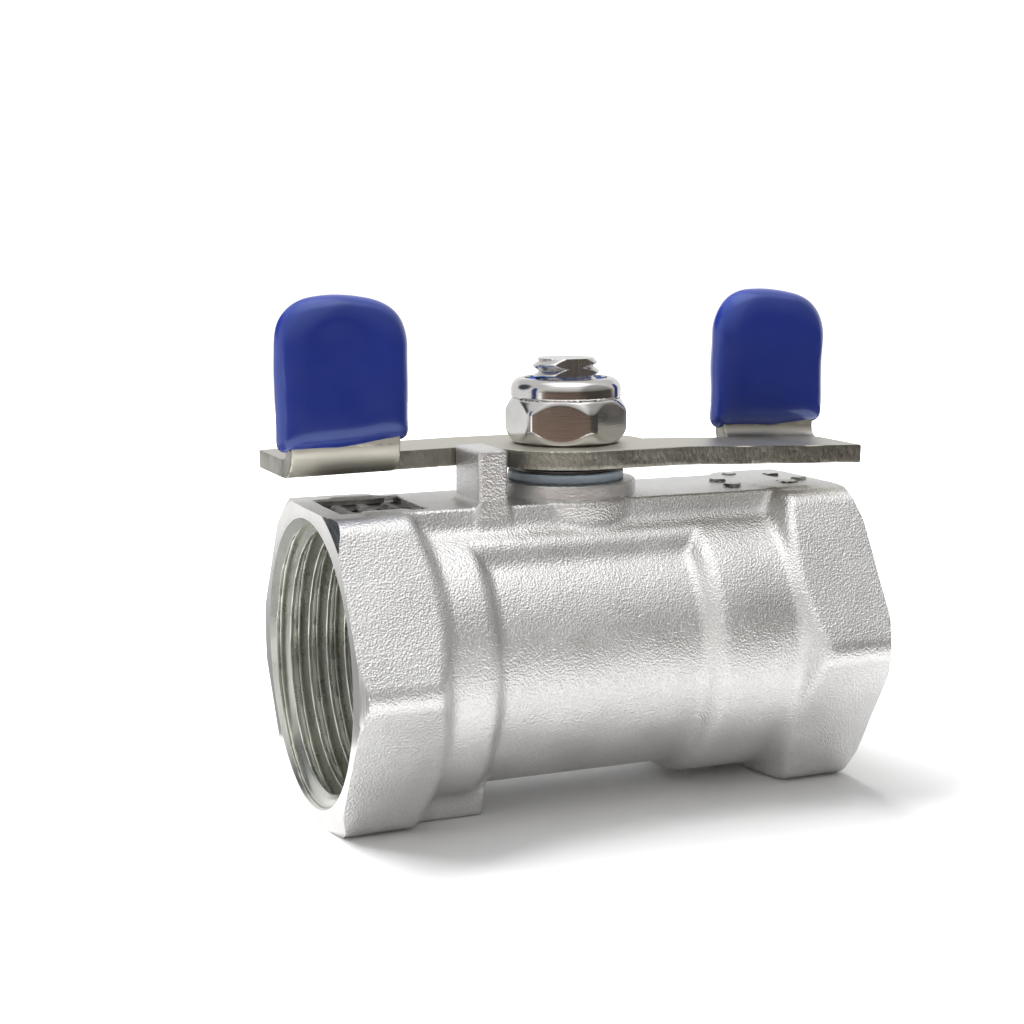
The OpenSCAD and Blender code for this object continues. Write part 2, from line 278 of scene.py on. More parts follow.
def edge_crossings(sdf, field, low, step, axis):
    """Grid edges along one axis that the surface crosses: (lower corners, starts inside, points)."""
    inside = field < 0
    ahead = [slice(None)] * 3
    behind = [slice(None)] * 3
    ahead[axis] = slice(1, None)
    behind[axis] = slice(None, -1)
    corner = np.argwhere(inside[tuple(ahead)] != inside[tuple(behind)]).T
    unit = np.zeros((3, 1), int)
    unit[axis] = 1
    f0 = field[tuple(corner)]
    f1 = field[tuple(corner + unit)]
    starts_inside = f0 < 0
    t0, t1 = np.zeros_like(f0), np.ones_like(f0)
    origin = low[:, None] + step * corner
    for _ in range(3):
        t = t0 + (t1 - t0) * f0 / (f0 - f1)
        f = sdf(origin + unit * (step * t))
        same = (f < 0) == starts_inside
        t0, f0 = np.where(same, t, t0), np.where(same, f, f0)
        t1, f1 = np.where(same, t1, t), np.where(same, f1, f)
    t = t0 + (t1 - t0) * f0 / (f0 - f1)
    return corner, starts_inside, origin + unit * (step * t)


def dual_contour(sdf, low, high, step):
    """Vertices (3, n) and quads (m, 4) of the surface where sdf is zero, in a box that holds all of it."""
    low = np.array(low, float) - GRID_SHIFT * step
    counts = [int(math.ceil((h - l) / step)) + 3 for l, h in zip(low, high)]
    field = sample_grid(sdf, low, step, counts)
    ids, normals, points, quads = [], [], [], []
    for axis in range(3):
        corner, starts_inside, point = edge_crossings(sdf, field, low, step, axis)
        normal = gradient(sdf, point)
        b, c = (axis + 1) % 3, (axis + 2) % 3
        around = []
        for db, dc in ((-1, -1), (0, -1), (0, 0), (-1, 0)):
            cell = corner.copy()
            cell[b] += db
            cell[c] += dc
            around.append(np.ravel_multi_index(tuple(cell), counts))
            ids.append(around[-1])
            normals.append(normal)
            points.append(point)
        quad = np.stack(around, axis=1)
        quad[~starts_inside] = quad[~starts_inside][:, ::-1]
        quads.append(quad)
    ids = np.concatenate(ids)
    n, p = np.concatenate(normals, axis=1), np.concatenate(points, axis=1)
    cells, where = np.unique(ids, return_inverse=True)
    total = len(cells)

    def gather(values):
        return np.bincount(where, values, total)

    count = gather(np.ones(len(where)))
    middle = np.stack([gather(p[a]) / count for a in range(3)])
    offset = (n * (p - middle[:, where])).sum(axis=0)
    matrix = np.empty((total, 3, 3))
    for a in range(3):
        for b in range(a, 3):
            matrix[:, a, b] = matrix[:, b, a] = gather(n[a] * n[b])
    matrix[:, range(3), range(3)] += PULL * count[:, None]
    side = np.stack([gather(n[a] * offset) for a in range(3)], axis=1)
    shift = np.linalg.solve(matrix, side[:, :, None])[:, :, 0].T
    cell_low = low[:, None] + step * np.stack(np.unravel_index(cells, counts))
    vertex = np.clip(middle + shift, cell_low, cell_low + step)
    return vertex, np.searchsorted(cells, np.concatenate(quads))


def split_bent_quads(sdf, vertex, quads):
    """Faces as a list of index arrays: flat quads stay, bent ones split along the crease."""
    corner = vertex[:, quads]
    first = np.abs(sdf((corner[:, :, 0] + corner[:, :, 2]) / 2))
    second = np.abs(sdf((corner[:, :, 1] + corner[:, :, 3]) / 2))
    bent = np.maximum(first, second) > MAX_BENT
    along_first = bent & (first <= second)
    along_second = bent & (first > second)
    a, b = quads[along_first], quads[along_second]
    triangles = np.concatenate([a[:, [0, 1, 2]], a[:, [0, 2, 3]], b[:, [0, 1, 3]], b[:, [1, 2, 3]]])
    return quads[~bent], triangles


def corner_normals(sdf, vertex, faces):
    """A normal for each face corner, read a little way into the face, so creases stay crisp.

    One that was read across a crease differs far from the face's own normal, and gives way to it.
    """
    corner = vertex[:, faces]
    middle = corner.mean(axis=2, keepdims=True)
    probe = (corner + INSET * (middle - corner)).reshape(3, -1)
    normal = in_chunks(lambda p: gradient(sdf, p, NORMAL_REACH), probe)
    flat = np.cross(corner[:, :, 2] - corner[:, :, 0], corner[:, :, -1] - corner[:, :, 1], axis=0)
    length = np.linalg.norm(flat, axis=0)
    flat = np.repeat(flat / np.maximum(length, TINY), faces.shape[1], axis=1)
    sound = np.repeat(length > MIN_FACE, faces.shape[1])
    strays = sound & ((normal * flat).sum(axis=0) < math.cos(MAX_STRAY))
    return np.where(strays, flat, normal)


# ------------------------------------------------------------------ mesh tools

def new_object(name, mesh):
    obj = bpy.data.objects.new(name, mesh)
    bpy.context.scene.collection.objects.link(obj)
    return obj


def mesh_from_arrays(name, vertex, face_sets, normals):
    """A Blender mesh from vertices in mm, face arrays of any width, and a normal for each corner."""
    mesh = bpy.data.meshes.new(name)
    loops = np.concatenate([f.ravel() for f in face_sets])
    widths = np.concatenate([np.full(len(f), f.shape[1]) for f in face_sets])
    starts = np.concatenate([[0], np.cumsum(widths)[:-1]])
    mesh.vertices.add(vertex.shape[1])
    mesh.vertices.foreach_set("co", (vertex.T * MM).astype(np.float32).ravel())
    mesh.loops.add(len(loops))
    mesh.loops.foreach_set("vertex_index", loops.astype(np.int32))
    mesh.polygons.add(len(widths))
    mesh.polygons.foreach_set("loop_start", starts.astype(np.int32))
    mesh.update(calc_edges=True)
    mesh.normals_split_custom_set(normals.T.astype(np.float32))
    return mesh


def sdf_object(name, sdf, low, high, step, extra=None):
    """A mesh object of a signed distance. extra adds ready-made (vertex, faces, normals)."""
    vertex, quads = dual_contour(sdf, low, high, step * COARSE)
    quads, triangles = split_bent_quads(sdf, vertex, quads)
    face_sets = [f for f in (quads, triangles) if len(f)]
    normals = [corner_normals(sdf, vertex, f) for f in face_sets]
    for more_vertex, more_faces, more_normals in extra or []:
        face_sets.append(more_faces + vertex.shape[1])
        normals.append(more_normals)
        vertex = np.concatenate([vertex, more_vertex], axis=1)
    mesh = mesh_from_arrays(name, vertex, face_sets, np.concatenate(normals, axis=1))
    return new_object(name, mesh)


def face_centres(mesh):
    """Face centres (3, n) in mm and face normals (3, n)."""
    centre = np.empty(len(mesh.polygons) * 3, np.float32)
    normal = np.empty_like(centre)
    mesh.polygons.foreach_get("center", centre)
    mesh.polygons.foreach_get("normal", normal)
    return centre.reshape(-1, 3).T / MM, normal.reshape(-1, 3).T


def finish_object(obj, body, nodes, materials, choose=None):
    """Materials by face, then what the piece rides on and stands for."""
    for material in materials:
        obj.data.materials.append(material)
    if choose:
        index = choose(*face_centres(obj.data)).astype(np.int32)
        obj.data.polygons.foreach_set("material_index", index)
    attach(obj, body)
    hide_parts(*nodes)


# -------------------------------------------------------------------- the body

cast_waves = Noise(11)
cast_grain = Noise(23)


def cast_skin(p):
    """Height of the casting's skin: slow waves under a fine blasted grain."""
    return 0.04 * cast_waves(p, 5.0) + 0.010 * cast_grain(p, 0.8)


def hexagon(y, z, radius, k):
    """A hexagon about the pipe with flats above and below, its corners rounded over k."""
    sides = smooth_max(y * math.cos(math.pi / 6) + z / 2, y * math.cos(math.pi / 6) - z / 2, k)
    return smooth_max(np.abs(z), sides, k) - radius


def cast_shape(p):
    """Everything cast: hexagon ends, bands, barrel, strip, pads and stop post."""
    x, y, z = p[0], np.abs(p[1]), p[2] - PIPE_Z
    r = np.hypot(y, z)
    flats = hexagon(y, z, HEX_R, HEX_ROUND)
    drop = HEX_CORNER_R - BAND_R
    left_wall = side_plane(x - (LEFT_END + HEX_LEN), r - HEX_CORNER_R, HEX_WALL, drop)
    right_wall = side_plane((RIGHT_END - HEX_LEN) - x, r - HEX_CORNER_R, HEX_WALL, drop)
    ends = np.minimum(smooth_max(flats, left_wall, CAST_ROUND), smooth_max(flats, right_wall, CAST_ROUND))

    step_h = BAND_R - BARREL_R
    groove = smooth_max(BARREL_R - r, side_plane(BARREL_LEFT - x, BARREL_R - r, WALL_LEFT, step_h), 0.5)
    groove = smooth_max(groove, side_plane(x - BARREL_RIGHT, BARREL_R - r, WALL_RIGHT, step_h), 0.5)
    strip = np.maximum(side_plane(y - STRIP_HALF, z - BAND_R, *DRAFT), -z)
    groove = smooth_max(groove, -strip, 0.5)
    tube = np.maximum(r - BAND_R, np.maximum(LEFT_END + 1 - x, x - RIGHT_END + 1))
    tube = smooth_max(tube, -groove, 0.7)

    pad = smooth_max(z - HEX_R, side_plane(y - PAD_HALF, z - HEX_R, *DRAFT), 0.5)
    step = np.hypot(x, y) - BOSS_R - 0.5
    pad = smooth_min(pad, smooth_max(z - HEX_R, step, 0.5), 0.4)
    pad = np.maximum(pad, np.maximum(LEFT_END + 5 - x, x - RIGHT_END + 5))
    pad = np.maximum(pad, -z)
    rear_pad = smooth_max(-z - HEX_R, side_plane(y - REAR_PAD_HALF, -z - HEX_R, *DRAFT), 0.5)
    rear_pad = smooth_max(rear_pad, x - REAR_PAD_END, 0.7)
    rear_pad = np.maximum(rear_pad, np.maximum(LEFT_END + 5 - x, z))

    solid = smooth_min(ends, tube, CAST_ROUND)
    solid = smooth_min(solid, pad, 0.8)
    solid = smooth_min(solid, rear_pad, 0.8)
    post = box_distance(p, POST[0], POST[1], 0.5)
    solid = smooth_min(solid, post, CAST_ROUND)

    panel = box_distance(
        p, (PANEL_X[0], -PANEL_HALF, HEX_TOP - PANEL_DEPTH), (PANEL_X[1], PANEL_HALF, HEX_TOP + 2), 0.3
    )
    for i in (-1, 0, 1):
        middle = sum(PANEL_X) / 2 + BAR_PITCH * i
        bar_low = (middle - BAR_HALF_X, -BAR_HALF_Y, HEX_TOP - 3)
        bar_high = (middle + BAR_HALF_X, BAR_HALF_Y, HEX_TOP - BAR_DROP)
        bar = box_distance(p, bar_low, bar_high, 0.25)
        panel = smooth_max(panel, -bar, 0.3)
    solid = smooth_max(solid, -panel, 0.3)
    for mark_x, mark_y, mark_r in MARKS:
        bump = np.hypot(x - mark_x, p[1] - mark_y) - mark_r + 0.3 * cast_waves(p, 1.3)
        bump = smooth_max(bump, np.abs(p[2] - HEX_TOP) - MARK_H, 0.3)
        solid = smooth_min(solid, bump, 0.2)
    return solid


def pipe_cuts(x, r):
    """Bore, cavity and the two pockets that the threaded sleeves fill."""
    steps = (
        (LEFT_END - 2, LEFT_END + FULL_THREAD, SLEEVE_R),
        (LEFT_END, LEFT_END + THREAD_DEPTH, INNER_SLEEVE_R),
        (LEFT_END, CAVITY_LEFT + 1, PORT_R),
        (CAVITY_LEFT, CAVITY_RIGHT, CAVITY_R),
        (CAVITY_RIGHT - 1, RETAINER_OUT, RETAINER_R),
        (RETAINER_OUT, RIGHT_END, INNER_SLEEVE_R),
        (RIGHT_END - FULL_THREAD, RIGHT_END + 2, SLEEVE_R),
    )
    cut = FAR
    for start, end, radius in steps:
        cut = np.minimum(cut, np.maximum(r - radius, np.maximum(start - x, x - end)))
    return cut


def stem_cuts(p):
    r = np.hypot(p[0], p[1])
    cut = np.maximum(r - SHAFT_R - CLEARANCE, PIPE_Z - p[2])
    cut = np.minimum(cut, np.maximum(r - FLANGE_BORE_R, np.maximum(PIPE_Z - p[2], p[2] - LIP_Z)))
    return np.minimum(cut, np.maximum(r - PACKING_R, PACKING_Z - p[2]))


def turned_limit(x, r):
    """The lathe's cuts on the outside: flat end faces with the corners chamfered at 30 degrees."""
    limit = -FAR
    for distance in (LEFT_END - x, x - RIGHT_END):
        cone = distance * math.cos(math.pi / 6) + (r - END_FACE_R) * math.sin(math.pi / 6)
        limit = np.maximum(limit, np.maximum(distance, cone))
    return limit


def body_sdf(p):
    x = p[0]
    r = np.hypot(p[1], p[2] - PIPE_Z)
    solid = cast_shape(p) + cast_skin(p)
    boss = smooth_max(np.hypot(p[0], p[1]) - BOSS_R, p[2] - BOSS_TOP, 0.25)
    boss = np.maximum(boss, PIPE_Z - p[2])
    solid = smooth_min(solid, boss, 0.12)
    solid = np.maximum(solid, turned_limit(x, r))
    solid = np.maximum(solid, -pipe_cuts(x, r))
    return np.maximum(solid, -stem_cuts(p))


def thread_radius(depth, theta):
    """Radius of the mouth at a depth from its end face and an angle, following a right-hand helix."""
    along = depth / PITCH - theta / (2 * math.pi)
    u = np.abs(along - np.round(along)) * PITCH
    flank = MINOR_R + (u - CREST_HALF) / math.tan(FLANK_ANGLE)
    r = smooth_max(flank, MINOR_R + 0 * u, 0.12)
    r = smooth_min(r, MAJOR_R + 0 * u, 0.5)
    fade = np.clip((FULL_THREAD - 0.3 - depth) / RUN_OUT, 0, 1)
    r = MINOR_R + (r - MINOR_R) * fade
    return smooth_max(r, MOUTH_R - depth, 0.06)


def thread_sleeve(end_x, inward, length):
    """A threaded ring that fills a mouth: its inside is the helix, its outside is hidden in the body."""
    around = int(THREAD_SIDES / COARSE)
    along = int(length / PITCH * ROWS_PER_TURN / COARSE)
    depth = np.linspace(0, length, along + 1)
    theta = np.linspace(0, 2 * math.pi, around, endpoint=False)
    d, t = np.meshgrid(depth, theta, indexing="ij")
    r = thread_radius(d, t)
    # Handed so that both ends screw in clockwise
    inner = np.stack([end_x + inward * d, r * np.cos(t), PIPE_Z + inward * r * np.sin(t)]).reshape(3, -1)
    outside = (
        (length, INNER_SLEEVE_R), (FULL_THREAD, INNER_SLEEVE_R), (FULL_THREAD, SLEEVE_R), (0, SLEEVE_R)
    )
    outer = np.concatenate([
        np.stack([
            np.full(around, end_x + inward * d2), r2 * np.cos(theta), PIPE_Z + inward * r2 * np.sin(theta)
        ])
        for d2, r2 in outside
    ], axis=1)
    vertex = np.concatenate([inner, outer], axis=1)
    rows = along + 1 + len(outside)
    i, j = np.meshgrid(np.arange(rows), np.arange(around), indexing="ij")
    i2, j2 = (i + 1) % rows, (j + 1) % around
    faces = np.stack([i * around + j, i2 * around + j, i2 * around + j2, i * around + j2], axis=-1)

    # Analytic normals on the thread, flat ones on the hidden faces
    e = 0.004
    slope_d = (thread_radius(d + e, t) - thread_radius(d - e, t)) / (2 * e)
    slope_t = (thread_radius(d, t + e / r) - thread_radius(d, t - e / r)) / (2 * e)
    radial = np.stack([np.zeros_like(t), np.cos(t), inward * np.sin(t)])
    tangent = np.stack([np.zeros_like(t), -np.sin(t), inward * np.cos(t)])
    axial = np.stack([np.full_like(t, inward), np.zeros_like(t), np.zeros_like(t)])
    normal = -radial + axial * slope_d + tangent * slope_t
    normal = (normal / np.linalg.norm(normal, axis=0)).reshape(3, -1)
    corners = faces.reshape(-1, 4)
    shown = np.repeat(i.reshape(-1) < along, 4)
    loop_normal = np.zeros((3, corners.size))
    flat = corners.ravel()
    loop_normal[:, shown] = normal[:, flat[shown]]
    a, b, c = (vertex[:, corners[:, n]] for n in (0, 1, 2))
    face_normal = np.cross((b - a).T, (c - b).T).T
    face_normal /= np.maximum(np.linalg.norm(face_normal, axis=0), TINY)
    hidden = ~shown
    loop_normal[:, hidden] = np.repeat(face_normal, 4, axis=1)[:, hidden]
    if (face_normal[:, 0] * normal[:, 0]).sum() < 0:
        order = [3, 2, 1, 0]
        corners = corners[:, order]
        loop_normal = loop_normal.reshape(3, -1, 4)[:, :, order].reshape(3, -1)
        hidden_normal = hidden.reshape(-1, 4)[:, order].ravel()
        loop_normal[:, hidden_normal] *= -1
    return vertex, corners, loop_normal


def body_material_choice(centre, normal):
    """0 cast skin, 1 turned or bored, 2 painted shade in the panel and around the marks, 3 the boss, 4 the
    threads.
    """
    x, y, z = centre
    r = np.hypot(y, z - PIPE_Z)
    turned = np.abs(turned_limit(x, r)) < 0.1
    outside = (r > BARREL_R - 0.6) & (x > BARREL_LEFT - WALL_LEFT - 0.5)
    outside &= x < BARREL_RIGHT + WALL_RIGHT + 0.5
    bored = (r < SLEEVE_R + 0.05) & ~outside
    bored |= (np.hypot(x, y) < PACKING_R + 0.05) & (z > PIPE_Z)
    # Painted shade: the panel's floor and bars, and the sloping sides of the raised marks, take the
    # near-black material
    dark = (z < HEX_TOP - 0.25) & (z > HEX_TOP - 1.3) & (np.abs(y) < PANEL_HALF)
    dark &= (x > PANEL_X[0]) & (x < PANEL_X[1])
    for mark_x, mark_y, mark_r in MARKS:
        near = np.hypot(x - mark_x, y - mark_y) < mark_r + 0.5
        dark |= near & (z > HEX_TOP + 0.05) & (normal[2] < 0.9)
    boss = (np.hypot(x, y) < BOSS_R + 0.1) & (z > PIPE_Z + BARREL_R - 4) & ~bored
    threads = bored & (r > MINOR_R - 0.2) & (r < SLEEVE_R) & (np.abs(normal[0]) < 0.98)
    threads &= (x < LEFT_END + THREAD_DEPTH) | (x > RETAINER_OUT)
    kind = np.where(threads, 4, np.where(boss, 3, (turned | bored).astype(int)))
    return np.where(dark, 2, kind)


def build_body(cast, machined, recess_shade, satin, threaded):
    sleeves = [
        thread_sleeve(LEFT_END, 1, THREAD_DEPTH + 0.05),
        thread_sleeve(RIGHT_END, -1, RIGHT_END - RETAINER_OUT + 0.05),
    ]
    obj = sdf_object("valve_body_cast", body_sdf, body_low, body_high, CAST_STEP, sleeves)
    # The third look paints shade into the panel's recess and onto the sides of the marks
    looks = [cast, machined, recess_shade, satin, threaded]
    finish_object(obj, "housing", ["valve_body"], looks, body_material_choice)


# ------------------------------------------------------------------ the handle

def unsagged(p):
    """Coordinates in which both wings lie level, with the left wing's sag and the right wing's taken out."""
    x, y, z = p
    sag = np.where(x > CREASE_X, SAG_RIGHT, 0) - np.where(x < -CREASE_X, SAG_LEFT, 0)
    x1 = x - (z - PLATE_TOP) * sag
    z1 = z + (np.abs(x1) - CREASE_X) * np.abs(sag)
    return x1, y, z1


def on_right_wing(x, y):
    """1 on the right and -1 on the left, with x and y turned so that both wings lie on the right."""
    flip = np.where(x > 0, 1.0, -1.0)
    return flip, x * flip, y * flip


def tab_outline(x, z, half, top, shoulder, crown, peak=0.0):
    """A tab seen along Y: upright sides and round shoulders under a crown that is highest at peak."""
    away = (x - peak) / half
    return smooth_max(np.abs(x) - half, z - top + crown * away * away / np.sqrt(1 + away * away), shoulder)


def sleeve_outline(screen_x, z, lean_way):
    """A grip's outline seen along Y, without its lower lip."""
    rise = (z - GRIP_Z) / (GRIP_TOP - GRIP_Z)
    half = TAB_HALF + GRIP_WALL
    return tab_outline(screen_x + 0.35 * (0.5 - rise) * lean_way, z, half, GRIP_TOP, 4.6, 1.7, -0.9)


def plate_sdf(p):
    x, y, z = unsagged(p)
    disc = np.hypot(x, y) - DISC_R
    flip, wing_x, wing_y = on_right_wing(x, y)
    wing = np.maximum(np.abs(wing_y + (DISC_R + WING_IN) / 2) - (DISC_R - WING_IN) / 2, wing_x - REACH)
    outline = np.minimum(disc, wing)
    hole = np.maximum(np.hypot(x, y) - STEM_R - CLEARANCE, np.abs(y) - STEM_FLAT - CLEARANCE)
    outline = np.maximum(outline, -hole)
    plate = smooth_max(outline, np.abs(z - PLATE_TOP + PLATE_T / 2) - PLATE_T / 2, SHEET_ROUND)
    tab_top = GRIP_TOP - GRIP_WALL
    face = np.abs(wing_y - TAB_FACE - PLATE_T / 2) - PLATE_T / 2
    outline = tab_outline(wing_x - TAB_MIDDLE, z, TAB_HALF, tab_top, 3.4, 1.0)
    outline = np.maximum(outline, sleeve_outline((wing_x - TAB_MIDDLE) * flip, z, 0) + GRIP_WALL - 0.3)
    tab = smooth_max(face, outline, SHEET_ROUND)
    tab = np.maximum(tab, GRIP_Z - z)
    around_bend = np.hypot(wing_y + WING_IN, z - GRIP_Z)
    bend = np.abs(around_bend - BEND_R + PLATE_T / 2) - PLATE_T / 2
    bend = smooth_max(bend, np.abs(wing_x - TAB_MIDDLE) - TAB_HALF, SHEET_ROUND)
    bend = np.maximum(bend, np.maximum(z - GRIP_Z, -WING_IN - 0.3 - wing_y))
    return np.minimum(np.minimum(plate, tab), bend)


def build_plate(sheet, sheared):
    obj = sdf_object("handle_sheet", plate_sdf, plate_low, plate_high, PLATE_STEP)

    def choose(centre, normal):
        x, y, z = unsagged(centre)
        flat = np.abs(normal[2]) > 0.5
        upright = (np.abs(normal[1]) > 0.9) & (z > PLATE_TOP + 0.2)
        bend = (np.abs(normal[0]) < 0.3) & (z > PLATE_Z) & (z < GRIP_Z + 0.5) & (np.abs(x) > TAB_START)
        bend &= np.hypot(y + np.sign(x) * WING_IN, z - GRIP_Z) < BEND_R + 0.1
        bend &= y * np.sign(x) > -WING_IN - 0.02
        return ~(flat | upright | bend)

    finish_object(obj, "handle", ["handle_plate"], [sheet, sheared], choose)


grip_waves = Noise(5)


def grip_sdf(p):
    """A dipped vinyl sleeve: fully rounded, with a peaked crown and a soft lower lip that runs uphill."""
    x, y, z = unsagged(p)
    flip, wing_x, wing_y = on_right_wing(x, y)
    half = TAB_HALF + GRIP_WALL
    screen_x = (wing_x - TAB_MIDDLE) * flip
    across = wing_y - TAB_FACE - PLATE_T / 2
    thick = PLATE_T / 2 + GRIP_WALL
    rounded = sleeve_outline(screen_x, z, np.where(x > 0, -1.0, 0.3))
    ramp = np.clip((screen_x + 1.5) / (half + 1.5), 0, 1)
    lip = GRIP_Z - LIP_DROP + LIP_RISE * ramp * ramp * (3 - 2 * ramp)
    outline = smooth_max(rounded, lip - z, 1.3)
    facets = 0.12 * grip_waves(p, 4.2) + 0.03 * grip_waves(p + 17, 2.4)
    sleeve = smooth_max(outline, np.abs(across) - thick, 3.2) + facets
    pocket = np.maximum(np.abs(across) - PLATE_T / 2, rounded + GRIP_WALL)
    return smooth_max(sleeve, -pocket, 0.4)


def build_grips(vinyl):
    margin = 0.6
    for name, low, high in (("left", grip_l_low, grip_l_high), ("right", grip_r_low, grip_r_high)):
        obj = sdf_object("vinyl_grip_" + name, grip_sdf, low - margin, high + margin, GRIP_STEP)
        finish_object(obj, "handle", ["grip_" + name], [vinyl])


# ------------------------------------------------------------- nut, stem, rings

def nut_sdf(p):
    """A lock nut: a hexagon with deep conical chamfers, and a collar rolled in over the insert."""
    x, y, z = p[0], p[1], p[2] - PLATE_TOP
    r = np.hypot(x, y)
    top = nut_high[2] - PLATE_TOP
    flats = np.full_like(r, -FAR)
    for i in range(3):
        angle = NUT_TURN + math.radians(30 + 60 * i)
        flats = smooth_max(flats, np.abs(x * math.cos(angle) + y * math.sin(angle)), 0.9)
    hexagon_d = flats - NUT_FLATS / 2
    width = NUT_FLATS / math.sqrt(3) - NUT_FACE_R
    for height in (-z, z - NUT_HEX_H):
        cone = ((r - NUT_FACE_R) * NUT_CHAMFER + height * width) / math.hypot(width, NUT_CHAMFER)
        hexagon_d = smooth_max(hexagon_d, smooth_max(cone, height, 0.5), 0.22)
    q = np.maximum(r - COLLAR_R + COLLAR_ROLL, 0)
    w = np.maximum(z - top + COLLAR_ROLL, 0)
    collar = np.maximum(np.hypot(q, w) - COLLAR_ROLL, np.maximum(r - COLLAR_R, z - top))
    collar = smooth_max(collar, NUT_HEX_H - 0.1 - z, 0.2)
    neck = np.maximum(r - COLLAR_R + 0.45, np.maximum(NUT_HEX_H - 1 - z, z - NUT_HEX_H - 1))
    solid = np.minimum(np.minimum(hexagon_d, collar), neck)
    bore = r - STEM_R - 0.03
    pocket = smooth_max(r - POCKET_R, NUT_HEX_H + 0.3 - z, 0.2)
    return smooth_max(solid, -np.minimum(bore, pocket), 0.15)


def insert_sdf(p):
    r = np.hypot(p[0], p[1])
    z = p[2] - PLATE_TOP
    top = nut_high[2] - PLATE_TOP
    ring = smooth_max(r - INSERT_R, STEM_R + 0.02 - r, 0.25)
    return smooth_max(ring, np.maximum(NUT_HEX_H + 0.4 - z, z - top + 0.35), 0.3)


def stem_sdf(p):
    x, y, z = p
    r = np.hypot(x, y)
    theta = np.arctan2(y, x)
    along = z / STEM_PITCH - theta / (2 * math.pi)
    u = np.abs(along - np.round(along)) * STEM_PITCH
    groove = STEM_R - STEM_GROOVE + smooth_min((u - 0.08) * 1.55, STEM_GROOVE + 0 * u, 0.25)
    threaded = (r - smooth_min(groove, STEM_R + 0 * r, 0.05)) * THREAD_SCALE
    threaded = np.maximum(threaded, r - STEM_R)
    top_cone = ((z - STEM_TOP) + (r - STEM_R + 0.7)) * math.sqrt(0.5)
    threaded = np.maximum(np.maximum(threaded, top_cone), z - STEM_TOP)
    threaded = np.maximum(threaded, PLATE_Z - 0.2 - z)
    threaded = smooth_max(threaded, np.abs(y) - STEM_FLAT, 0.1)
    shaft = np.maximum(r - SHAFT_R, np.maximum(FLANGE_Z - z, z - PLATE_Z))
    flange = np.maximum(r - FLANGE_R, np.maximum(FLANGE_Z - z, z - FLANGE_TOP))
    tang = np.maximum(np.abs(x) - TANG_HALF, r - SHAFT_R)
    tang = np.maximum(tang, np.maximum(stem_low[2] - z, z - FLANGE_TOP))
    return np.minimum(np.minimum(threaded, shaft), np.minimum(flange, tang))


def gland_sdf(p):
    r = np.hypot(p[0], p[1])
    z = p[2]
    outer = gland_high[0]
    flange = smooth_max(r - outer, np.maximum(BOSS_TOP - z, z - gland_high[2]), 0.3)
    spigot = np.maximum(r - PACKING_R + 0.03, np.maximum(gland_low[2] - z, z - BOSS_TOP - 0.5))
    return np.maximum(np.minimum(flange, spigot), SHAFT_R + CLEARANCE - r)


def build_small_parts(polished, machined, nylon, ptfe):
    obj = sdf_object("lock_nut_polished", nut_sdf, nut_low, nut_high, NUT_STEP)
    finish_object(obj, "handle", ["lock_nut"], [polished])
    obj = sdf_object("nut_insert_ring", insert_sdf, nut_low, nut_high, NUT_STEP)
    finish_object(obj, "handle", ["nut_insert"], [nylon])
    obj = sdf_object("stem_threaded", stem_sdf, stem_low, stem_high, STEM_STEP)
    finish_object(obj, "handle", ["stem"], [machined])
    obj = sdf_object("gland_ring", gland_sdf, gland_low, gland_high, GLAND_STEP)
    finish_object(obj, "housing", ["gland_bush"], [ptfe])


# ------------------------------------------------------------------- materials

NOISE_MIDDLE = (0.3, 0.7)


class Graph:
    """Shorthand for one material's nodes."""

    def __init__(self, name):
        self.material = bpy.data.materials.new(name)
        self.material.use_nodes = True
        self.nodes = self.material.node_tree.nodes
        self.links = self.material.node_tree.links
        self.shader = self.nodes["Principled BSDF"]

    def add(self, kind, **settings):
        node = self.nodes.new("ShaderNode" + kind)
        for key, value in settings.items():
            setattr(node, key, value)
        return node

    def feed(self, node, socket, value):
        if isinstance(value, bpy.types.NodeSocket):
            self.links.new(value, node.inputs[socket])
        else:
            node.inputs[socket].default_value = value

    def place(self, scale=(1, 1, 1)):
        coordinates = self.add("TexCoord")
        mapping = self.add("Mapping")
        self.feed(mapping, "Vector", coordinates.outputs["Object"])
        self.feed(mapping, "Scale", scale)
        return mapping.outputs["Vector"]

    def noise(self, place, scale, detail=2.0, roughness=0.5):
        node = self.add("TexNoise")
        self.feed(node, "Vector", place)
        self.feed(node, "Scale", scale)
        self.feed(node, "Detail", detail)
        self.feed(node, "Roughness", roughness)
        return node.outputs["Fac"]

    def cells(self, place, scale):
        node = self.add("TexVoronoi", feature="SMOOTH_F1")
        self.feed(node, "Vector", place)
        self.feed(node, "Scale", scale)
        return node.outputs["Distance"]

    def fit(self, value, low, high, to_low, to_high):
        node = self.add("MapRange")
        for socket, v in (("Value", value), ("From Min", low), ("From Max", high)):
            self.feed(node, socket, v)
        self.feed(node, "To Min", to_low)
        self.feed(node, "To Max", to_high)
        return node.outputs["Result"]

    def span(self, noise, low, high):
        """low to high over the middle of a noise's range."""
        return self.fit(noise, *NOISE_MIDDLE, low, high)

    def between(self, noise, a, b):
        """Colour a to colour b over the middle of a noise's range."""
        return self.blend(self.span(noise, 0.0, 1.0), a, b)

    def math(self, operation, a, b):
        node = self.add("Math", operation=operation)
        self.feed(node, 0, a)
        self.feed(node, 1, b)
        return node.outputs["Value"]

    def blend(self, factor, a, b):
        node = self.add("Mix", data_type="RGBA")
        self.feed(node, 0, factor)
        self.feed(node, 6, a)
        self.feed(node, 7, b)
        return node.outputs[2]

    def bump(self, height, distance, strength=1.0, after=None):
        node = self.add("Bump")
        self.feed(node, "Height", height)
        self.feed(node, "Distance", distance)
        self.feed(node, "Strength", strength)
        if after is not None:
            self.feed(node, "Normal", after)
        return node.outputs["Normal"]

    def set(self, **sockets):
        for key, value in sockets.items():
            self.feed(self.shader, key.replace("_", " "), value)
        return self.material


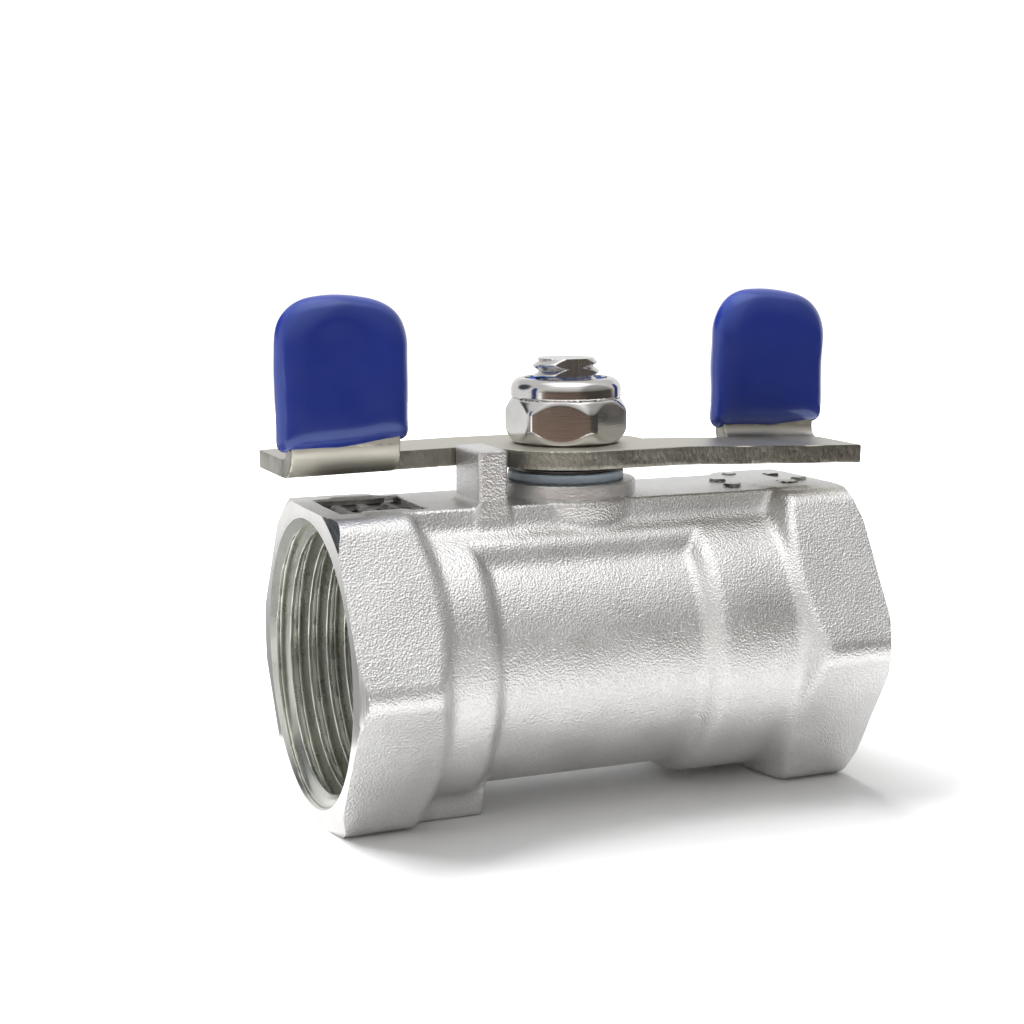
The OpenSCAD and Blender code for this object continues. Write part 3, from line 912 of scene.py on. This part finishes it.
def grey(value, warm=0.0):
    return (value * (1 + warm), value, value * (1 - warm), 1.0)


def cast_material():
    g = Graph("cast steel")
    place = g.place()
    fine = g.noise(place, 4000, 3.0, 0.7)
    pits = g.cells(place, 4600)
    broad = g.noise(place, 160, 3.0)
    tone = g.blend(g.fit(broad, 0.35, 0.65, 0.0, 1.0), grey(0.72, 0.012), grey(0.80, 0.008))
    dark = g.fit(pits, 0.0, 0.5, 0.0, 1.0)
    height = g.math("ADD", fine, g.math("MULTIPLY", pits, 1.1))
    return g.set(
        Base_Color=g.blend(dark, grey(0.66, 0.01), tone),
        Metallic=1.0,
        Roughness=g.span(broad, 0.28, 0.40),
        Normal=g.bump(height, 0.000065, 1.0),
    )


# A near-black metal: painted shade for the panel's recess and the sloping sides of the raised marks
def recess_shade_material():
    g = Graph("cast recess, painted shade")
    place = g.place()
    scale = g.noise(place, 900, 3.0)
    broad = g.noise(place, 240, 2.0)
    return g.set(
        Base_Color=g.between(broad, grey(0.13, 0.04), grey(0.36, 0.03)),
        Metallic=1.0,
        Roughness=g.span(scale, 0.35, 0.6),
        Normal=g.bump(scale, 0.00015, 0.8),
    )


def satin_material():
    g = Graph("satin boss")
    place = g.place()
    fine = g.noise(place, 4200, 2.0)
    swept = g.noise(g.place((500, 500, 2600)), 1.0, 2.0)
    broad = g.noise(place, 260, 3.0)
    height = g.math("ADD", fine, swept)
    return g.set(
        Base_Color=g.between(broad, grey(0.60, 0.02), grey(0.72, 0.01)),
        Metallic=1.0,
        Roughness=g.span(broad, 0.30, 0.40),
        Normal=g.bump(height, 0.00003, 0.8),
    )


def thread_material():
    g = Graph("cut thread")
    place = g.place()
    fine = g.noise(place, 2600, 2.0)
    broad = g.noise(place, 300, 2.0)
    return g.set(
        Base_Color=g.between(broad, (0.66, 0.67, 0.615, 1), (0.74, 0.75, 0.69, 1)),
        Metallic=1.0,
        Roughness=g.span(broad, 0.24, 0.34),
        Normal=g.bump(fine, 0.00001, 0.5),
    )


def machined_material():
    g = Graph("turned steel")
    lines = g.noise(g.place((9000, 260, 260)), 1.0, 2.0)
    broad = g.noise(g.place(), 300, 2.0)
    normal = g.bump(lines, 0.00001, 0.5)
    return g.set(
        Base_Color=g.between(broad, grey(0.60, 0.03), grey(0.66, 0.02)),
        Metallic=1.0,
        Roughness=g.span(lines, 0.14, 0.26),
        Normal=normal,
    )


def polished_material():
    g = Graph("polished steel")
    scratches = g.noise(g.place((300, 300, 4000)), 1.0, 2.0)
    broad = g.noise(g.place(), 250, 2.0)
    return g.set(
        Base_Color=g.between(broad, grey(0.57, 0.03), grey(0.65, 0.02)),
        Metallic=1.0,
        Roughness=g.span(broad, 0.07, 0.16),
        Normal=g.bump(scratches, 0.000008, 0.4),
    )


def sheet_material():
    g = Graph("satin sheet")
    brushed = g.noise(g.place((120, 5000, 5000)), 1.0, 2.0)
    broad = g.noise(g.place(), 140, 3.0)
    return g.set(
        Base_Color=g.between(broad, (0.56, 0.54, 0.47, 1), (0.62, 0.60, 0.53, 1)),
        Metallic=1.0,
        Roughness=g.span(broad, 0.38, 0.50),
        Normal=g.bump(brushed, 0.00001, 0.45),
    )


def sheared_material():
    g = Graph("sheared edge")
    torn = g.noise(g.place((2600, 2600, 1300)), 1.0, 3.0)
    broad = g.noise(g.place(), 260, 2.0)
    return g.set(
        Base_Color=g.between(broad, (0.235, 0.228, 0.195, 1), (0.37, 0.362, 0.32, 1)),
        Metallic=1.0,
        Roughness=g.span(torn, 0.32, 0.48),
        Normal=g.bump(torn, 0.00012, 0.9),
    )


def spring_material():
    g = Graph("dark spring steel")
    broad = g.noise(g.place(), 420, 3.0)
    return g.set(
        Base_Color=g.between(broad, grey(0.08, 0.02), grey(0.16, 0.02)),
        Metallic=1.0,
        Roughness=g.span(broad, 0.3, 0.5),
        Normal=g.bump(broad, 0.00002, 0.4),
    )


def vinyl_material():
    g = Graph("blue dipped vinyl")
    place = g.place()
    peel = g.noise(place, 420, 2.0)
    broad = g.noise(place, 90, 2.0)
    tone = g.between(broad, (0.014, 0.029, 0.215, 1), (0.018, 0.035, 0.245, 1))
    return g.set(
        Base_Color=tone,
        Roughness=g.span(peel, 0.16, 0.24),
        Specular_IOR_Level=0.75,
        Specular_Tint=(0.62, 0.78, 1.0, 1),
        Coat_Weight=0.12,
        Coat_Roughness=0.06,
        Normal=g.bump(peel, 0.00002, 0.35),
    )


def nylon_material():
    g = Graph("blue nylon")
    grain = g.noise(g.place(), 900, 3.0)
    return g.set(
        Base_Color=g.between(grain, (0.02, 0.07, 0.30, 1), (0.03, 0.10, 0.38, 1)),
        Roughness=g.span(grain, 0.35, 0.5),
        Normal=g.bump(grain, 0.00003, 0.4),
    )


def ptfe_material():
    g = Graph("bluish PTFE")
    grain = g.noise(g.place(), 700, 3.0)
    return g.set(
        Base_Color=g.between(grain, (0.34, 0.42, 0.50, 1), (0.42, 0.49, 0.57, 1)),
        Roughness=g.span(grain, 0.4, 0.55),
        Normal=g.bump(grain, 0.00002, 0.35),
    )


# --------------------------------------------------------- stage, light, camera

# Level direction from the dark end of the room towards the valve
DARK_END = (-0.17, 0.98)
# Cards are flat fans on the floor: angles in radians, near radius at each end and far radius in metres
FRONT_CARD = (math.radians(-165), math.radians(30), 0.15, 0.10)
BACK_CARD = (math.radians(38), math.radians(187), 0.032, 0.055)
CARD_FAR, CARD_Z = 0.5, 0.001
CARD_STEPS = 24
FLOOR_R, FLOOR_SIDES = 0.5, 96
# The floor glows from the first radius to the second, up to this strength
GLOW_START, GLOW_END, GLOW = 0.12, 0.42, 0.8
# The front card turns from brown to nearly black over this x, the back card pales over this radius
BROWN_TO_BLACK = (0.0, 0.2)
NEAR_TO_PALE = (0.1, 0.26)


def floor_material():
    """White, and brighter further out, so that it runs into the background."""
    g = Graph("white floor")
    place = g.place()
    grain = g.noise(place, 60, 2.0)
    radius = g.add("VectorMath", operation="LENGTH")
    g.feed(radius, 0, place)
    return g.set(
        Base_Color=g.between(grain, grey(0.90), grey(0.93)),
        Roughness=0.6,
        Specular_IOR_Level=0.3,
        Emission_Color=(1, 1, 1, 1),
        Emission_Strength=g.fit(radius.outputs["Value"], GLOW_START, GLOW_END, 0.0, GLOW),
    )


def build_stage():
    turns = [2 * math.pi * i / FLOOR_SIDES for i in range(FLOOR_SIDES)]
    rim = [(FLOOR_R * math.cos(t), FLOOR_R * math.sin(t), 0) for t in turns]
    mesh = bpy.data.meshes.new("floor")
    mesh.from_pydata(rim, [], [list(range(FLOOR_SIDES))])
    floor = new_object("floor", mesh)
    mesh.materials.append(floor_material())
    floor_card("front_card", FRONT_CARD, front_card_material())
    floor_card("back_card", BACK_CARD, back_card_material())


def floor_card(name, fan, material):
    """A card lying on the floor around the valve, seen only in reflections."""
    start, end, near_start, near_end = fan
    rings = []
    for step in range(CARD_STEPS + 1):
        share = step / CARD_STEPS
        turn = start + (end - start) * share
        for radius in (near_start + (near_end - near_start) * share, CARD_FAR):
            rings.append((radius * math.cos(turn), radius * math.sin(turn), CARD_Z))
    faces = [(2 * i, 2 * i + 1, 2 * i + 3, 2 * i + 2) for i in range(CARD_STEPS)]
    mesh = bpy.data.meshes.new(name)
    mesh.from_pydata(rings, [], faces)
    mesh.materials.append(material)
    card = new_object(name, mesh)
    card.visible_camera = False
    card.visible_diffuse = False
    card.visible_shadow = False


def front_card_material():
    """Brown on the left and nearly black on the right, as a dark table in front would be."""
    g = Graph("front card")
    place = g.place()
    parts = g.add("SeparateXYZ")
    g.feed(parts, 0, place)
    nap = g.noise(place, 40, 2.0)
    brown = g.between(nap, (0.19, 0.135, 0.105, 1), (0.24, 0.17, 0.135, 1))
    return g.set(
        Base_Color=g.blend(
            g.fit(parts.outputs[0], *BROWN_TO_BLACK, 0.0, 1.0), brown, (0.075, 0.075, 0.07, 1)
        ),
        Roughness=0.9,
        Specular_IOR_Level=0.0,
    )


def back_card_material():
    """Dark grey near the valve and paler further out."""
    g = Graph("back card")
    place = g.place()
    nap = g.noise(place, 40, 2.0)
    radius = g.add("VectorMath", operation="LENGTH")
    g.feed(radius, 0, place)
    near = g.between(nap, grey(0.19), grey(0.22))
    return g.set(
        Base_Color=g.blend(g.fit(radius.outputs["Value"], *NEAR_TO_PALE, 0.0, 1.0), near, grey(0.58)),
        Roughness=0.9,
        Specular_IOR_Level=0.0,
    )


# The room's greatest radiance, which its colours are given as shares of
PEAK = 2.4
# A dark slate patch behind on the left, and the cosines of its outer and inner edge
SLATE_WAY = (-0.70, 0.61, 0.37)
SLATE = (0.07, 0.08, 0.09)
SLATE_EDGE = (0.92, 0.975)
# Range over which the pale side gives way to the dark side
DARK_EDGE = (-0.12, 0.3)
# The right of the dark side loses this share of its light over this range
RIGHT_WAY = (0.91, -0.41)
RIGHT_EDGE, RIGHT_LOSS = (0.38, 0.66), 0.5
RIGHT_NEEDS_DARK = (0.1, 0.4)
# What the camera sees behind the floor
BACKDROP = 1.15
# Share of the room's light that matt surfaces receive
FILL = 0.5
# Radiance of the room by the height of the direction, on the pale side and on the dark side
PALE_STOPS = (
    (0.0, (0.9, 0.9, 0.9)), (0.3, (0.95, 0.95, 0.95)), (0.46, (0.72, 0.72, 0.72)), (0.86, (0.78, 0.78, 0.78)),
    (0.96, (1.8, 1.8, 1.8)), (1.0, (2.1, 2.1, 2.1))
)
DARK_STOPS = (
    (0.0, (0.16, 0.13, 0.11)), (0.07, (0.22, 0.19, 0.165)), (0.2, (0.54, 0.53, 0.51)),
    (0.4, (0.74, 0.74, 0.73)), (0.6, (0.93, 0.93, 0.93)), (0.78, (1.0, 1.0, 1.0)), (0.92, (2.25, 2.25, 2.25)),
    (1.0, (2.4, 2.4, 2.4))
)


def build_world():
    """A pale room, brightest overhead, with a dark end low down in front and a slate patch behind."""
    world = bpy.data.worlds.new("studio")
    bpy.context.scene.world = world
    world.use_nodes = True
    nodes, links = world.node_tree.nodes, world.node_tree.links

    def math_node(operation, a, b, c=None):
        node = nodes.new("ShaderNodeMath")
        node.operation = operation
        for socket, value in enumerate((a, b, c)):
            if isinstance(value, bpy.types.NodeSocket):
                links.new(value, node.inputs[socket])
            elif value is not None:
                node.inputs[socket].default_value = value
        return node.outputs["Value"]

    def ramp(value, low, high):
        node = nodes.new("ShaderNodeMapRange")
        node.interpolation_type = "SMOOTHSTEP"
        links.new(value, node.inputs["Value"])
        node.inputs["From Min"].default_value = low
        node.inputs["From Max"].default_value = high
        return node.outputs["Result"]

    def mix(factor, a, b):
        node = nodes.new("ShaderNodeMix")
        node.data_type = "RGBA"
        links.new(factor, node.inputs[0])
        for socket, value in ((6, a), (7, b)):
            if isinstance(value, bpy.types.NodeSocket):
                links.new(value, node.inputs[socket])
            else:
                node.inputs[socket].default_value = value
        return node.outputs[2]

    def stops(value, points):
        node = nodes.new("ShaderNodeValToRGB")
        links.new(value, node.inputs["Fac"])
        elements = node.color_ramp.elements
        while len(elements) < len(points):
            elements.new(0.5)
        for element, (place, colour) in zip(elements, points):
            element.position = place
            element.color = [c / PEAK for c in colour] + [1]
        return node.outputs["Color"]

    direction = nodes.new("ShaderNodeTexCoord").outputs["Generated"]
    parts = nodes.new("ShaderNodeSeparateXYZ")
    links.new(direction, parts.inputs[0])
    x, y, z = (parts.outputs[i] for i in range(3))
    dark_side = math_node("MULTIPLY_ADD", y, -DARK_END[1], math_node("MULTIPLY", x, -DARK_END[0]))
    right = math_node("MULTIPLY_ADD", y, RIGHT_WAY[1], math_node("MULTIPLY", x, RIGHT_WAY[0]))
    pale = stops(z, PALE_STOPS)
    dark = stops(z, DARK_STOPS)
    dim_right = math_node("MULTIPLY", ramp(right, *RIGHT_EDGE), ramp(dark_side, *RIGHT_NEEDS_DARK))
    shade = nodes.new("ShaderNodeVectorMath")
    shade.operation = "SCALE"
    links.new(dark, shade.inputs[0])
    links.new(math_node("SUBTRACT", 1.0, math_node("MULTIPLY", dim_right, RIGHT_LOSS)), shade.inputs["Scale"])
    room = mix(ramp(dark_side, *DARK_EDGE), pale, shade.outputs[0])
    path = nodes.new("ShaderNodeLightPath")
    seen = path.outputs["Is Camera Ray"]
    towards = nodes.new("ShaderNodeVectorMath")
    towards.operation = "DOT_PRODUCT"
    links.new(direction, towards.inputs[0])
    towards.inputs[1].default_value = SLATE_WAY
    slate = [c / PEAK for c in SLATE] + [1]
    room = mix(ramp(towards.outputs["Value"], *SLATE_EDGE), room, slate)
    links.new(mix(seen, room, (BACKDROP / PEAK,) * 3 + (1,)), nodes["Background"].inputs["Color"])
    strength = math_node("MULTIPLY_ADD", path.outputs["Is Diffuse Ray"], (FILL - 1) * PEAK, PEAK)
    links.new(strength, nodes["Background"].inputs["Strength"])


# Metres and watts for the light, millimetres and degrees for the camera
LIGHT_PLACE, LIGHT_AIM = (-0.12, 0.19, 0.44), (0, 0, 0.02)
LIGHT_SIZE, LIGHT_POWER = (0.55, 0.28), 5.0
CAMERA_PLACE = (-89.25, -199.29, 67.40)
CAMERA_YAW_PITCH_ROLL = (-22.44, -8.80, 0.16)
CAMERA_LENS, CAMERA_SENSOR = 64.75, 36.0


def build_light():
    """One soft light above and behind on the left. Metal mirrors the room but not this light."""
    data = bpy.data.lights.new("softbox", "AREA")
    data.shape = "RECTANGLE"
    data.size, data.size_y = LIGHT_SIZE
    data.energy = LIGHT_POWER
    light = bpy.data.objects.new("softbox", data)
    bpy.context.scene.collection.objects.link(light)
    light.location = LIGHT_PLACE
    way = Vector(LIGHT_AIM) - Vector(LIGHT_PLACE)
    light.rotation_euler = way.to_track_quat("-Z", "Y").to_euler()
    light.visible_glossy = False


def build_camera():
    data = bpy.data.cameras.new("camera")
    data.sensor_width = CAMERA_SENSOR
    data.lens = CAMERA_LENS
    data.clip_start = 0.01
    data.clip_end = 20.0
    camera = bpy.data.objects.new("camera", data)
    bpy.context.scene.collection.objects.link(camera)
    yaw, pitch, roll = (math.radians(a) for a in CAMERA_YAW_PITCH_ROLL)
    turn = Matrix.Rotation(yaw, 4, "Z") @ Matrix.Rotation(pitch, 4, "X") @ Matrix.Rotation(roll, 4, "Y")
    place = Matrix.Translation(Vector(CAMERA_PLACE) * MM)
    camera.matrix_world = place @ turn @ Matrix.Rotation(math.pi / 2, 4, "X")
    bpy.context.scene.camera = camera


# ------------------------------------------------------------------------ main

def dress_cad_nodes(looks):
    """CAD nodes that stay as they are get their material."""
    for node, material in looks.items():
        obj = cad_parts[node]
        obj.data.materials.clear()
        obj.data.materials.append(material)


cast = cast_material()
machined = machined_material()
polished = polished_material()
ptfe = ptfe_material()
build_body(cast, machined, recess_shade_material(), satin_material(), thread_material())
build_plate(sheet_material(), sheared_material())
build_grips(vinyl_material())
build_small_parts(polished, machined, nylon_material(), ptfe)
dress_cad_nodes({
    "end_retainer": machined, "retainer_seal": ptfe, "seat_left": ptfe, "seat_right": ptfe,
    "ball": polished, "thrust_washer": ptfe, "packing_lower": ptfe, "packing_upper": ptfe,
    "spring_washer": spring_material(),
})
build_stage()
build_world()
build_light()
build_camera()
bpy.context.scene.view_settings.view_transform = "Standard"
